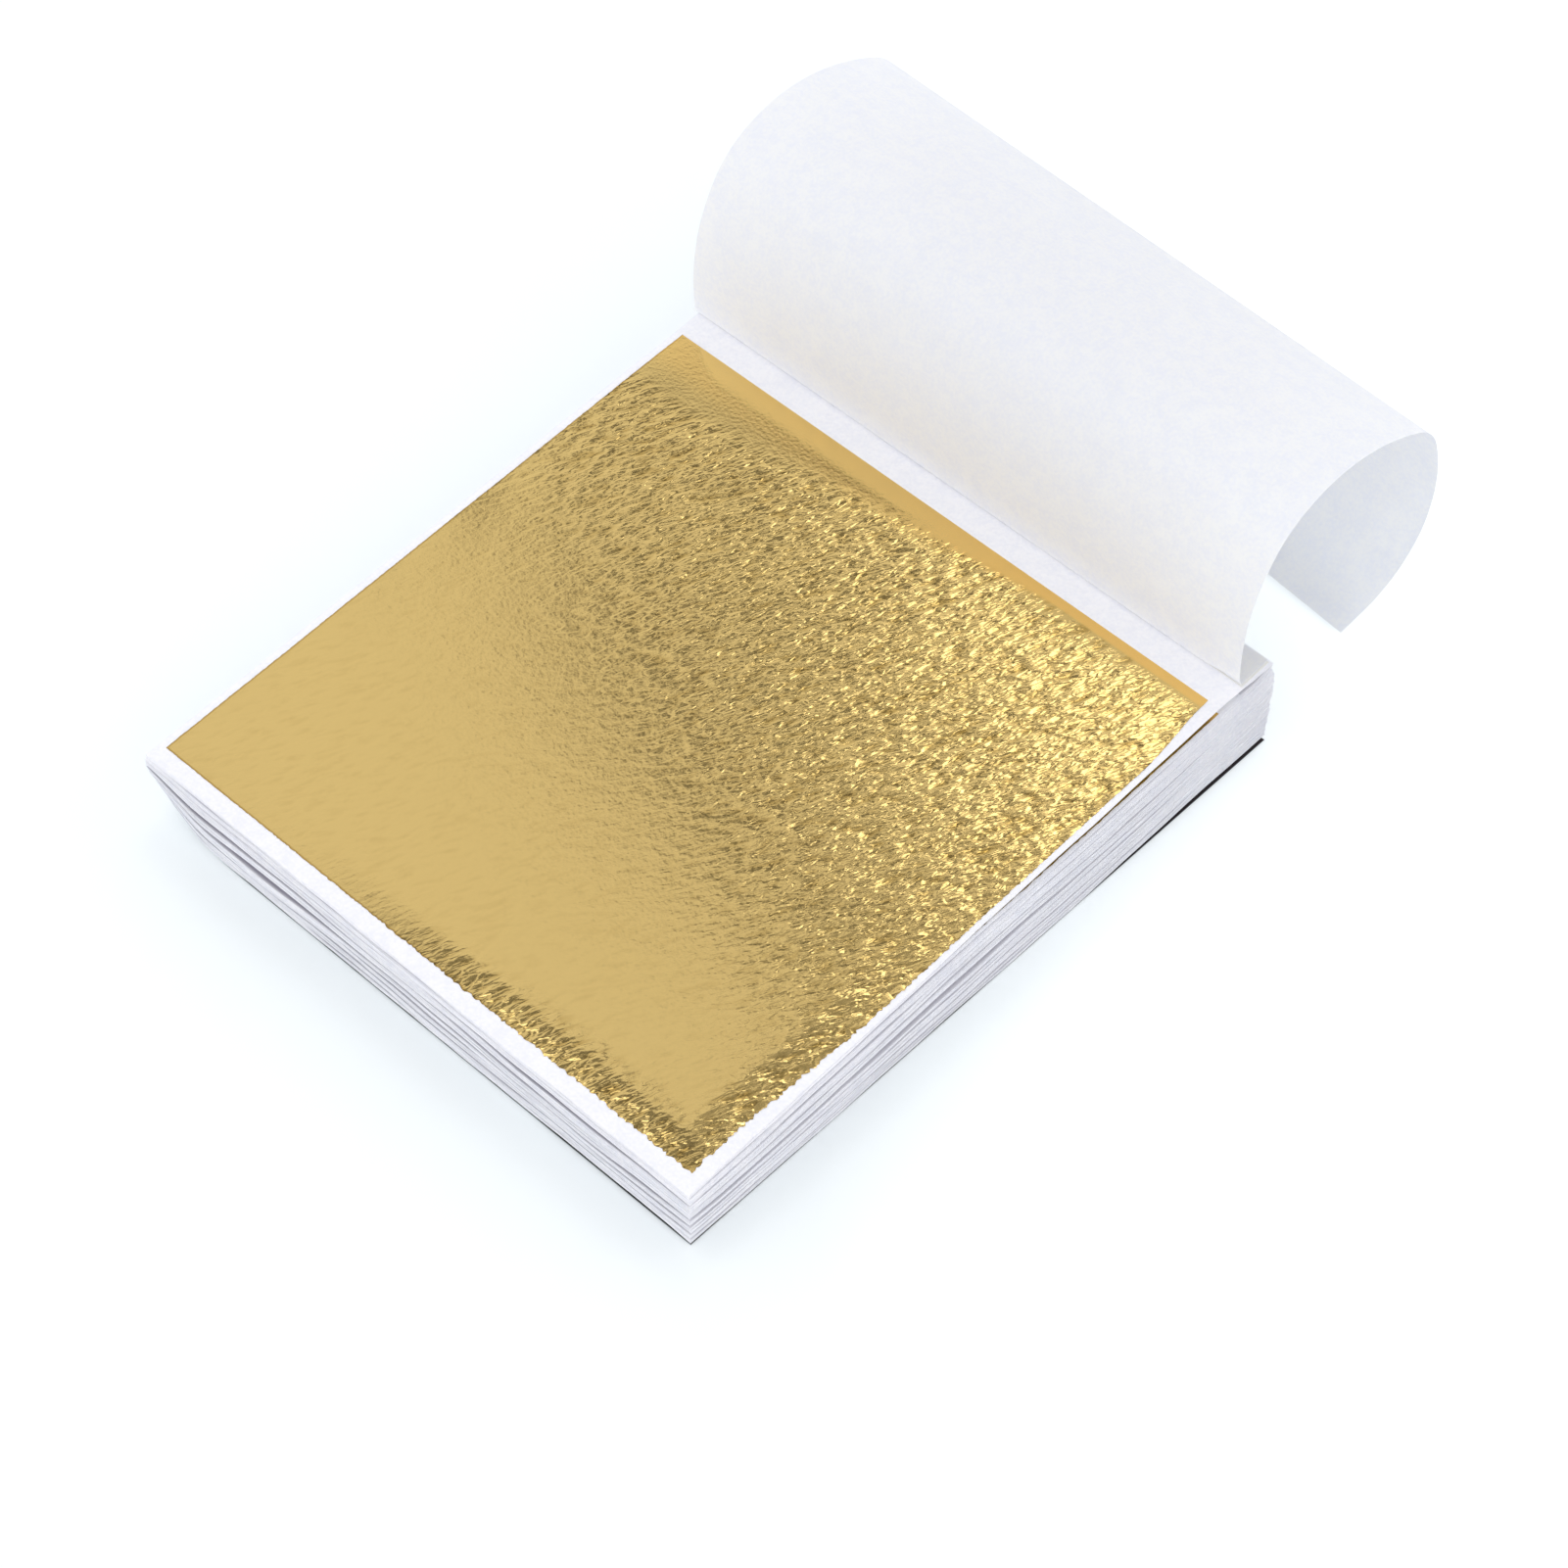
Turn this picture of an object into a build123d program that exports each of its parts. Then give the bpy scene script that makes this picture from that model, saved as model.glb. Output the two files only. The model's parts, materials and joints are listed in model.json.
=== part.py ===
from build123d import *
import os

os.makedirs("parts", exist_ok=True)

# Gold leaf booklet: tissue pages and loose gold leaves in turn, glued along one edge, the spine.
# The top page is turned back at its crease and curls over behind the spine.
# Millimetres. The origin is the centre of the bottom page's underside. X runs along the spine,
# +Y points from the fore edge to the spine, +Z is up.

# Gold leaf
leaf_width = 81.0
leaf_length = 81.5
leaf_thickness = 0.01

# Page outline, from the leaf's edges outwards
left_margin = 1.0
right_margin = 1.8
fore_margin = 2.1
crease_margin = 3.6
binding_depth = 5.2
page_thickness = 0.05

# Stack
leaf_count = 100
leaf_clearance = 0.016
glue_thickness = 0.088

# Turning pages: the top one is turned back, the next ones lie closed and can be lifted
lifting_page_count = 3
bundle_count = 14
crease_gap = 0.4

# Turned page, as equal flat strips along its right edge, with a bend between each two
strip_gap = 0.1
crease_lean_degrees = -1.0
bend_degrees = (14, 20, 36, 26, 17, 11, 36, 13, 17, 31, 33)
curl_flare_share = 0.07

# Sizes that follow
page_count = leaf_count + 1
page_width = left_margin + leaf_width + right_margin
free_length = fore_margin + leaf_length + crease_margin
page_length = free_length + binding_depth
fore_pitch = page_thickness + leaf_thickness + 2 * leaf_clearance
spine_pitch = page_thickness + glue_thickness
left_x = -page_width / 2
right_x = page_width / 2
fore_y = -page_length / 2
spine_y = page_length / 2
crease_y = spine_y - binding_depth
leaf_fore_y = fore_y + fore_margin
leaf_left_x = left_x + left_margin


def pitch_at(y):
    """Height from one page to the next at a distance y: the stack is thicker at the spine."""
    return fore_pitch + (spine_pitch - fore_pitch) * (y - fore_y) / page_length


def level_of(page_number):
    """Pages count from the top, levels from the bottom."""
    return page_count - page_number


def sheet_corners(level, lift, thickness, start_y, end_y):
    """Side view of one sheet, lying at its level's slope and raised by lift."""
    start_z = level * pitch_at(start_y) + lift
    end_z = level * pitch_at(end_y) + lift
    return [(start_y, start_z), (end_y, end_z), (end_y, end_z + thickness), (start_y, start_z + thickness)]


def page_corners(page_number, start_y, end_y):
    return sheet_corners(level_of(page_number), 0, page_thickness, start_y, end_y)


def leaf_corners(leaf_number):
    """A leaf lies on the page whose number is one more than its own."""
    lift = page_thickness + leaf_clearance
    return sheet_corners(level_of(leaf_number + 1), lift, leaf_thickness, leaf_fore_y, leaf_fore_y + leaf_length)


def glue_corners(page_number):
    """The glue fills the space between a page's margin and the next margin below it."""
    top = page_corners(page_number, crease_y + crease_gap / 2, spine_y)
    bottom = page_corners(page_number + 1, crease_y + crease_gap / 2, spine_y)
    return [bottom[3], bottom[2], top[1], top[0]]


def export_sheets(node_name, outlines, start_x, width):
    """One node of flat sheets: each outline is a side view, drawn across X."""
    with BuildPart() as sheets:
        with BuildSketch(Plane.YZ.offset(start_x)):
            for outline in outlines:
                Polygon(*outline, align=None)
        extrude(amount=width)
    sheets.part.label = node_name
    export_step(sheets.part, f"parts/{node_name}.step")
    return sheets.part


def bundled(first, last):
    """Sheet numbers from first to last, shared out to the bundles."""
    total = last - first + 1
    ends = [first + total * bundle // bundle_count for bundle in range(bundle_count + 1)]
    return [range(start, end) for start, end in zip(ends, ends[1:])]


def turned_about(plane, hinge, degrees):
    """The plane after a turn about the hinge line."""
    arm = plane.origin - hinge.position
    new_origin = hinge.position + arm.rotate(hinge, degrees)
    return Plane(new_origin, plane.x_dir.rotate(hinge, degrees), plane.z_dir.rotate(hinge, degrees))


# Bound margins of the pages that turn
turning_page_count = lifting_page_count + 1
for page_number in range(1, turning_page_count + 1):
    margin = page_corners(page_number, crease_y + crease_gap / 2, spine_y)
    export_sheets(f"page_{page_number:02d}_margin", [margin], left_x, page_width)

# Free parts of the closed pages that can be lifted
for page_number in range(2, turning_page_count + 1):
    free_part = page_corners(page_number, fore_y, crease_y - crease_gap / 2)
    export_sheets(f"page_{page_number:02d}", [free_part], left_x, page_width)

# Gold leaves that lie on a page that can be reached, the first one in full view
for leaf_number in range(1, turning_page_count + 1):
    export_sheets(f"gold_leaf_{leaf_number:02d}", [leaf_corners(leaf_number)], leaf_left_x, leaf_width)

# Pages and leaves below them, in bundles from the top down
for bundle, numbers in enumerate(bundled(turning_page_count + 1, page_count), 1):
    outlines = [page_corners(page_number, fore_y, spine_y) for page_number in numbers]
    export_sheets(f"page_bundle_{bundle:02d}", outlines, left_x, page_width)
for bundle, numbers in enumerate(bundled(turning_page_count + 1, leaf_count), 1):
    outlines = [leaf_corners(leaf_number) for leaf_number in numbers]
    export_sheets(f"gold_leaf_bundle_{bundle:02d}", outlines, leaf_left_x, leaf_width)

# Glue between the margins
glue_layers = [glue_corners(page_number) for page_number in range(1, page_count)]
export_sheets("binding_glue", glue_layers, left_x, page_width)

# Turned page. Its own plane has x from the right end of the crease to the left and y from the
# crease up the page. The bends are straight lines that fan out towards the left edge, so the
# curl is a little wider there and the page still lies flat when it is closed.
page_01_corners = page_corners(1, fore_y, crease_y)
crease_height = (page_01_corners[1][1] + page_01_corners[2][1]) / 2
strip_count = len(bend_degrees) + 1
strip_length = free_length / strip_count
page_plane = Plane(
    origin=(right_x, crease_y, crease_height),
    x_dir=(-1, 0, 0),
    z_dir=Vector(0, 1, 0).rotate(Axis.X, -crease_lean_degrees),
)
hinges = []
for strip in range(strip_count):
    near_right = strip * strip_length
    far_right = near_right + strip_length
    near_left = near_right * (1 + curl_flare_share)
    far_left = min(far_right * (1 + curl_flare_share), free_length)
    near_gap = strip_gap / 2 if strip else crease_gap / 2
    far_gap = strip_gap / 2 if strip < strip_count - 1 else 0
    hinge_start = page_plane.from_local_coords((0, near_right))
    hinge_end = page_plane.from_local_coords((page_width, near_left))
    hinge = Axis(hinge_start, hinge_end - hinge_start)
    if strip:
        page_plane = turned_about(page_plane, hinge, bend_degrees[strip - 1])
    hinges.append(hinge)
    with BuildPart() as page_strip:
        with BuildSketch(page_plane):
            Polygon(
                (0, near_right + near_gap),
                (page_width, near_left + near_gap),
                (page_width, far_left - far_gap),
                (0, far_right - far_gap),
                align=None,
            )
        extrude(amount=page_thickness / 2, both=True)
    strip_name = f"page_01_strip_{strip + 1:02d}"
    page_strip.part.label = strip_name
    export_step(page_strip.part, f"parts/{strip_name}.step")
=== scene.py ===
import json
import math

import bpy
import numpy as np
from mathutils import Matrix, Vector, noise


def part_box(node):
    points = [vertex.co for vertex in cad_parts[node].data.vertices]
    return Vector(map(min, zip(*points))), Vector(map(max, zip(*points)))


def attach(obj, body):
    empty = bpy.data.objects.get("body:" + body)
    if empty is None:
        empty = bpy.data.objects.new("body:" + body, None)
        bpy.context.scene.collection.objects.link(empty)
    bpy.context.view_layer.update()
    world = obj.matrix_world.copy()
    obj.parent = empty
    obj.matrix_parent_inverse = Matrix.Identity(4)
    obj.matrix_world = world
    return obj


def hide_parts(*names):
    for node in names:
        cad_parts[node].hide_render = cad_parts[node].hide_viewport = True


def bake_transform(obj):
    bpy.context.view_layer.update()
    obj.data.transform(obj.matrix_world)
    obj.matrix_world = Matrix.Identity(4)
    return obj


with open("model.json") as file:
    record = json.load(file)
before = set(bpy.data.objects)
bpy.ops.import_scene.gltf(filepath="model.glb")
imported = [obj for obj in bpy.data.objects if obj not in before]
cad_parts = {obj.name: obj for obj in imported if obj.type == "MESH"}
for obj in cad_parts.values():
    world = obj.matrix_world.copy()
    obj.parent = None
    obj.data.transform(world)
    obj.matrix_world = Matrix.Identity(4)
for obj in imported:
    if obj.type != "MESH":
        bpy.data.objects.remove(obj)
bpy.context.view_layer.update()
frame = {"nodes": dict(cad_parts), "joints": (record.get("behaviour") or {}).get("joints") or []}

bl_info = {
    "name": "Gold Leaf Booklet",
    "version": (1, 0, 0),
    "blender": (4, 5, 0),
    "location": "View3D > Sidebar > Leaf Booklet",
    "description": "Dresses the packed booklet with wavy tissue sheets, crinkled leaf and a soft studio",
    "category": "Add Mesh",
}

MM = 0.001


# What the frame says, in millimetres
def node_box(name):
    """Lowest and highest corner of a CAD node, in millimetres."""
    low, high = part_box(name)
    return np.array(low) / MM, np.array(high) / MM


PAGE_LOW, PAGE_HIGH = node_box("page_02")
MARGIN_LOW, MARGIN_HIGH = node_box("page_02_margin")
LEAF_LOW, LEAF_HIGH = node_box("gold_leaf_01")
LEFT, RIGHT = PAGE_LOW[0], PAGE_HIGH[0]
FORE, SPINE = PAGE_LOW[1], MARGIN_HIGH[1]
CREASE = (PAGE_HIGH[1] + MARGIN_LOW[1]) / 2
# Sheets' thicknesses, as in the CAD
PAGE_THICKNESS = 0.05
LEAF_THICKNESS = 0.01
# Pages count from the top and start at 1. Levels count the same pages from the table and start at 0.
TOP_LEVEL = 100
PAGE_02_LEVEL = TOP_LEVEL - 1
LIFTING_PAGES = (2, 3, 4)
FORE_PITCH = PAGE_LOW[2] / PAGE_02_LEVEL
SPINE_PITCH = (MARGIN_HIGH[2] - PAGE_THICKNESS) / PAGE_02_LEVEL
JOINTS = {joint["name"]: joint for joint in frame["joints"]}


def linear(hex_colour):
    """An sRGB hex colour as linear red, green and blue."""
    parts = [int(hex_colour[i : i + 2], 16) / 255 for i in (1, 3, 5)]
    return tuple(c / 12.92 if c <= 0.04045 else ((c + 0.055) / 1.055) ** 2.4 for c in parts)


def colour_property(name, description, hex_colour):
    """A colour that a user can change, with its default given as an sRGB hex value."""
    return bpy.props.FloatVectorProperty(
        name=name, description=description, subtype="COLOR", size=3, min=0, max=1, default=linear(hex_colour)
    )


def length_property(name, description, millimetres):
    """A length that a user can change, with its default given in millimetres."""
    return bpy.props.FloatProperty(
        name=name, description=description, unit="LENGTH", default=millimetres * MM, min=0
    )


class TissueSettings(bpy.types.PropertyGroup):
    """Sizes and colours of the tissue pages."""

    colour: colour_property("Tissue colour", "Bleached tissue seen flat on", "#FCFCFF")
    cloud_colour: colour_property("Cloud colour", "Thin places in the tissue's formation", "#F4F5FB")
    shade_colour: colour_property("Shade colour", "Tissue between closed pages, in their shade", "#B4B0BD")
    edge_depth: length_property("Edge depth", "How far in from the free edges the pages ripple", 8.0)
    corner_lift: length_property("Corner lift", "How far the lowest pages rise at the left fore corner", 3.2)
    edge_droop: length_property("Edge droop", "How far the top pages sink at the near corner's edges", 0.42)
    page_lift: length_property("Page lift", "Gap under the second page along its right edge", 1.0)


class LeafSettings(bpy.types.PropertyGroup):
    """Sizes and colours of the gold leaf."""

    colour: colour_property("Leaf colour", "Imitation gold leaf, a brass of zinc and copper", "#E0C27C")
    # Painted shade: the crinkles' valleys and the leaves' cut edges are drawn in this darker colour
    valley_shade_colour: colour_property("Valley colour", "Deeper tone in the valleys of the crinkles", "#A98842")
    strip_colour: colour_property("Strip colour", "Redder tone of the smooth strip at the spine", "#FACB74")
    crinkle_width: length_property("Crinkle width", "From one ridge to the next", 0.95)
    crinkle_length: length_property("Crinkle length", "How long a ridge runs before it fades", 2.3)
    crinkle_height: length_property("Crinkle height", "From valley to ridge, where it is highest", 0.078)
    smooth_strip: length_property("Smooth strip", "Width of the spine's smooth strip, at its right end", 1.2)


class StudioSettings(bpy.types.PropertyGroup):
    """Floor, light and camera."""

    floor_colour: colour_property("Floor colour", "Matt white sweep with a hint of cyan", "#F3F8F9")
    light_level: bpy.props.FloatProperty(
        name="Light level", description="Strength of the surrounding soft light", default=1.0, min=0
    )
    lens: bpy.props.FloatProperty(
        name="Lens", description="Focal length of the camera", unit="CAMERA", default=102.63, min=1
    )


# Small tools
def ramp(value, start, end):
    """0 at start, 1 at end, a smooth rise between them and level beyond; start may be the greater one."""
    t = np.clip((value - start) / (end - start), 0, 1)
    return t * t * (3 - 2 * t)


def faded(distance, reach):
    """1 where the distance is 0, and a smooth fall to 0 at reach."""
    return 1 - ramp(distance, 0, reach)


def add_node(tree, kind, inputs=None, **settings):
    """Adds a node, sets what is given, and links each input that is a socket, or a node by its first output
    in use."""
    node = tree.nodes.new(kind)
    for key, value in settings.items():
        setattr(node, key, value)
    for key, value in (inputs or {}).items():
        if isinstance(value, bpy.types.Node):
            value = next(output for output in value.outputs if output.enabled)
        if isinstance(value, bpy.types.NodeSocket):
            tree.links.new(value, node.inputs[key])
        else:
            node.inputs[key].default_value = value
    return node


def new_material(name):
    """An empty material and its node tree."""
    material = bpy.data.materials.new(name)
    material.use_nodes = True
    material.node_tree.nodes.clear()
    return material, material.node_tree


def material_named(name, make):
    """The material of that name, made on first use."""
    return bpy.data.materials.get(name) or make(name)


def rgba(colour):
    """A colour with full alpha, as the nodes take it."""
    return (*colour, 1.0)


# Edges that turn by more than this stay sharp
SHARP_EDGE = math.radians(45)
# Points this near to a sheet's edge, in millimetres, are on it
ON_EDGE = 0.01


def new_piece(name, points, faces, material):
    """A mesh from points in millimetres, smooth except at the sheets' edges."""
    mesh = bpy.data.meshes.new(name)
    mesh.from_pydata((np.asarray(points) * MM).tolist(), [], faces)
    mesh.materials.append(material)
    mesh.shade_smooth()
    mesh.set_sharp_from_angle(angle=SHARP_EDGE)
    mesh.update()
    piece = bpy.data.objects.new(name, mesh)
    bpy.context.scene.collection.objects.link(piece)
    return piece


def mark_points(piece, name, values):
    """Gives each of a piece's points a value that its material reads by name."""
    marks = piece.data.attributes.new(name, "FLOAT", "POINT")
    marks.data.foreach_set("value", np.ravel(values))


def grid_faces(rows, columns, start=0):
    """Faces of a grid of points, seen from the side where rows go up and columns go right."""
    index = start + np.arange(rows * columns).reshape(rows, columns)
    return np.stack([index[:-1, :-1], index[:-1, 1:], index[1:, 1:], index[1:, :-1]], -1).reshape(-1, 4)


def rim_of(rows, columns):
    """Point numbers round a grid, in order."""
    index = np.arange(rows * columns).reshape(rows, columns)
    return np.concatenate([index[0, :-1], index[:-1, -1], index[-1, :0:-1], index[:0:-1, 0]])


def closed_grid(lower, upper):
    """Points and faces of a thin closed sheet between two grids of points."""
    rows, columns = lower.shape[:2]
    count = rows * columns
    points = np.concatenate([lower.reshape(-1, 3), upper.reshape(-1, 3)])
    rim = rim_of(rows, columns)
    after = np.roll(rim, -1)
    sides = np.stack([rim, after, after + count, rim + count], -1)
    faces = np.concatenate([grid_faces(rows, columns)[:, ::-1], grid_faces(rows, columns, count), sides])
    return points, faces.tolist()


# How the pages lie
# Levels from the table up over which the block opens in a long gap, seen as a grey line on its sides, and how
# readily each one opens
OPEN_GAPS = {
    5: 1.0, 12: 1.2, 20: 1.0, 28: 1.6, 36: 1.0, 44: 1.3, 55: 2.0, 63: 0.8, 70: 1.3, 78: 0.7, 86: 1.4, 94: 1.1,
}
# How much tighter the other pages lie
TIGHTNESS = 1.2
# Waves of the sheets, from ridge to ridge; those at an open gap are longer and lower
WAVELENGTHS = (13.0, 19.0, 27.0, 44.0)
OPEN_WAVE_LENGTH = 2.0
OPEN_SWING = 0.42
USUAL_SWING = 0.7
# Levels below which the sheets' free edges stand further out, and by how much
OUTWARD_STEPS = ((96, 0.12), (93, 0.14), (89, 0.16), (80, 0.12))
# How much the gaps differ by chance
GAP_SPREAD = 0.25
# How unevenly the sheets were cut and stacked: the spread of their edges' places
CUT_SPREAD = 0.03
SPINE_SPREAD = 0.12
SPINE_CORNER_SPREAD = 0.09
DRIFT_SPREAD = 0.035
# How far in from a free edge the lowest sheet is off the table, and the sheets over it sink and part
LIFT_REACH = 3.0
SINK_REACH = 6.0
# How far the lowest sheet is off the table at its right edge, and how much more so towards the spine
RIGHT_LIFT = 0.14
SPINE_LIFT = 1.0
# The same at its fore edge, and towards the near corner
FORE_LIFT = 0.12
NEAR_LIFT = 0.22
# The raised left fore corner: its reach, in which a millimetre along x counts less than one along y
CORNER_REACH = 9.0
CORNER_X_SHARE = 0.75


class Stack:
    """Heights and outlines of the sheets in the block. Between the fixed inside and spine, where they lie
    as in the CAD, and the free edges, the sheets bunch and part."""

    def __init__(self, settings):
        random = np.random.default_rng(7)
        self.edge_depth = settings.edge_depth / MM
        self.corner_lift = settings.corner_lift / MM
        self.edge_droop = settings.edge_droop / MM
        readiness = np.array([OPEN_GAPS.get(level, 0.0) for level in range(TOP_LEVEL)])
        opens = readiness > 0
        waves = len(WAVELENGTHS)
        self.gap_bias = random.normal(0, GAP_SPREAD, TOP_LEVEL) + np.where(opens, readiness, -TIGHTNESS)
        wavelengths = np.array(WAVELENGTHS) * np.where(opens, OPEN_WAVE_LENGTH, 1.0)[:, None]
        self.swing = np.where(opens, OPEN_SWING, USUAL_SWING)
        directions = random.uniform(0, math.pi, (TOP_LEVEL, waves))
        self.wave_x = 2 * math.pi * np.cos(directions) / wavelengths
        self.wave_y = 2 * math.pi * np.sin(directions) / wavelengths
        self.phase = random.uniform(0, 2 * math.pi, (TOP_LEVEL, waves))
        sheets = TOP_LEVEL + 1
        steps = np.cumsum(random.normal(0, DRIFT_SPREAD, sheets))
        self.drift = steps - np.linspace(steps[0], steps[-1], sheets)
        self.shift = {side: random.normal(0, CUT_SPREAD, sheets) for side in ("left", "right", "fore")}
        self.shift["spine"] = -np.abs(random.normal(0, SPINE_SPREAD, sheets))
        self.spine_corner_shift = random.normal(0, SPINE_CORNER_SPREAD, sheets)
        self.edge_phase = random.uniform(0, 2 * math.pi, (sheets, 4))

    def pitch(self, y):
        """Height from one page to the next, more at the glued spine."""
        return FORE_PITCH + (SPINE_PITCH - FORE_PITCH) * (y - FORE) / (SPINE - FORE)

    def raised(self, x, y):
        """How far the lowest sheet is off the table: most at the left fore corner, and a little along the
        right edge, more towards the spine, and along the fore edge, more towards the near corner."""
        corner = (x - LEFT) * CORNER_X_SHARE + (y - FORE)
        lift = self.corner_lift * np.clip(1 - corner / CORNER_REACH, 0, 1) ** 1.6
        right = (RIGHT_LIFT + SPINE_LIFT * ramp(y, 12, 44)) * faded(RIGHT - x, LIFT_REACH)
        near_corner = ramp(x, 16, 24) * ramp(x, RIGHT + 2, RIGHT - 4)
        fore = (FORE_LIFT + NEAR_LIFT * near_corner) * faded(y - FORE, LIFT_REACH)
        return np.maximum(lift, np.maximum(right, fore))

    def sunk(self, x, y):
        """How far the top sheets sink: no leaf fills the block near its free edges, and under the second
        page's right edge it gapes."""
        fore = faded(y - FORE, SINK_REACH) * (0.20 + 0.80 * ramp(x, -25, 25))
        right = faded(RIGHT - x, SINK_REACH) * (0.12 + 0.88 * ramp(y, 4, -36))
        return self.edge_droop * (fore + right - fore * right) + second_page_gap(x, y)

    def heights(self, x, y):
        """Underside of every sheet at the points, one row for each level from the table up."""
        x, y = np.ravel(x), np.ravel(y)
        slack = TOP_LEVEL * (self.pitch(y) - PAGE_THICKNESS)
        swing = np.zeros((TOP_LEVEL, x.size))
        for wave in range(len(WAVELENGTHS)):
            turn = self.wave_x[:, wave, None] * x + self.wave_y[:, wave, None] * y + self.phase[:, wave, None]
            swing += np.sin(turn) * self.swing[:, None]
        # The sheets wave and part most along the fore edge, and part along the right edge away from the
        # spine
        front = faded(y - FORE, SINK_REACH)
        right = faded(RIGHT - x, SINK_REACH)
        looseness = 0.45 + 0.65 * front
        opening = 0.45 + 0.85 * np.maximum(front, right * (1 - 0.6 * ramp(y, -20, 20)))
        weight = np.exp(looseness * swing + opening * self.gap_bias[:, None])
        weight /= weight.sum(0)
        # 1 at the free edges, 0 inside and at the spine
        inside = np.minimum(np.minimum(x - LEFT, RIGHT - x), y - FORE)
        free = faded(inside, self.edge_depth) * ramp(y, CREASE - 2, CREASE - 14)
        share = (1 - free) / TOP_LEVEL + free * weight
        lift = self.raised(x, y)
        share *= slack - lift - self.sunk(x, y)
        below = np.concatenate([np.zeros((1, x.size)), np.cumsum(share, 0)])
        return lift + np.arange(TOP_LEVEL + 1)[:, None] * PAGE_THICKNESS + below

    def outward(self, level):
        """How far a sheet's free edges stand out: the top ones step outwards, the lower ones draw in."""
        steps = sum(step for start, step in OUTWARD_STEPS if level <= start)
        return steps * min(1.0, 0.25 + level / 70)

    def outline_shift(self, level, x, y):
        """Shift of points on a sheet's edge, in x and y."""
        phase = self.edge_phase[level]
        wobble_x = 0.035 * np.sin(y / 5.3 + phase[0]) + 0.025 * np.sin(y / 2.1 + phase[1])
        wobble_y = 0.035 * np.sin(x / 4.7 + phase[2]) + 0.025 * np.sin(x / 1.9 + phase[3])
        outward, drift = self.outward(level), self.drift[level]
        right = outward + self.shift["right"][level] + wobble_x
        right = right + self.spine_corner_shift[level] * ramp(y, SPINE - 9, SPINE)
        left = outward * 0.3 + self.shift["left"][level] + wobble_x
        fore = outward + self.shift["fore"][level] + wobble_y
        spine = self.shift["spine"][level] + 0.6 * wobble_y
        dx = np.where(x > RIGHT - ON_EDGE, right, 0) - np.where(x < LEFT + ON_EDGE, left, 0) + 0.3 * drift
        dy = np.where(y > SPINE - ON_EDGE, spine, 0) - np.where(y < FORE + ON_EDGE, fore, 0) + 0.3 * drift
        # The raised corner is drawn in, the lowest sheets most
        corner = 0.9 * np.clip(1 - ((x - LEFT) + (y - FORE)) / 8.0, 0, 1) * (1 - level / TOP_LEVEL)
        return dx + corner, dy + corner


STACK = None


def stack():
    """The one stack that all pieces are laid by."""
    global STACK
    if STACK is None:
        STACK = Stack(bpy.context.scene.leaf_booklet_tissue)
    return STACK


def rectangle_ring(low, high, inset, across, along):
    """Points round a rectangle, drawn in by inset, the same number for every inset."""
    x = np.linspace(low[0] + inset, high[0] - inset, across + 1)
    y = np.linspace(low[1] + inset, high[1] - inset, along + 1)
    ring_x = np.concatenate([x[:-1], np.full(along, x[-1]), x[:0:-1], np.full(along, x[0])])
    ring_y = np.concatenate([np.full(across, y[0]), y[:-1], np.full(across, y[-1]), y[:0:-1]])
    return ring_x, ring_y


def laid_rings(low, high, insets, across, along):
    """Rings of points from a rectangle's edge inwards, and the heights of all sheets on each."""
    rings = [rectangle_ring(low, high, inset, across, along) for inset in insets]
    return rings, [stack().heights(x, y) for x, y in rings]


def ringed_sheets(sheets):
    """Points and faces of closed sheets, each given as rings from its edge inwards, lower and upper."""
    points, faces, start = [], [], 0
    for lower, upper in sheets:
        rings, count = lower.shape[:2]
        size = rings * count
        points += [lower.reshape(-1, 3), upper.reshape(-1, 3)]
        index = np.arange(size).reshape(rings, count)
        after = np.roll(index, -1, axis=1)
        band = np.stack([index[:-1], after[:-1], after[1:], index[1:]], -1).reshape(-1, 4)
        edge = np.stack([index[0], after[0], after[0] + size, index[0] + size], -1)
        faces += (start + band[:, ::-1]).tolist()
        faces += (start + size + band).tolist()
        faces += (start + edge).tolist()
        faces.append((start + index[-1, ::-1]).tolist())
        faces.append((start + size + index[-1]).tolist())
        start += 2 * size
    return np.concatenate(points), faces


# Materials
# Which way the crinkles of the leaf run, from the spine's direction
CRINKLE_TURN = math.radians(66)
# How far light goes through one sheet of tissue, as the share of each face that lets it pass
SEE_THROUGH = 0.42


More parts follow.
